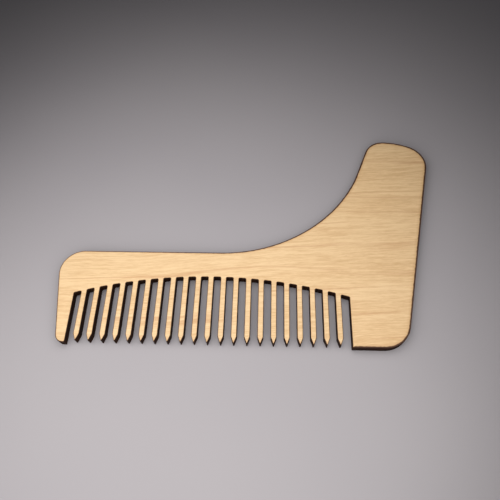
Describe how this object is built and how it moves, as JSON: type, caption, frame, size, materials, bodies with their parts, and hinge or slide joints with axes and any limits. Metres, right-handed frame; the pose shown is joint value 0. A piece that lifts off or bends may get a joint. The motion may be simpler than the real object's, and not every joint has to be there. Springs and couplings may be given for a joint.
{
  "type": "beard comb",
  "caption": "Flat laser-cut plywood beard comb with one row of pointed teeth, a broad handle and a curved jaw-line edge for shaping.",
  "frame": {"origin": "middle of the outline's box, on the back face that the comb lies on", "axes": "+X along the spine from the end land to the handle, -Y the way the teeth point, +Z out of the front face"},
  "size_m": [0.1322, 0.0828, 0.003],
  "materials": {
    "face_veneer": "fine-sanded pale birch, bare, grain along the spine, cut edges charred dark brown",
    "core_veneer": "bare birch, grain across the faces' grain, cut edges charred dark brown",
    "glue_film": "cured wood adhesive, seen only as a thin line on the cut edges"
  },
  "bodies": {
    "root": {"back_face_veneer": "face_veneer", "back_glue_film": "glue_film", "core_veneer": "core_veneer", "front_glue_film": "glue_film", "front_face_veneer": "face_veneer"}
  },
  "joints": []
}
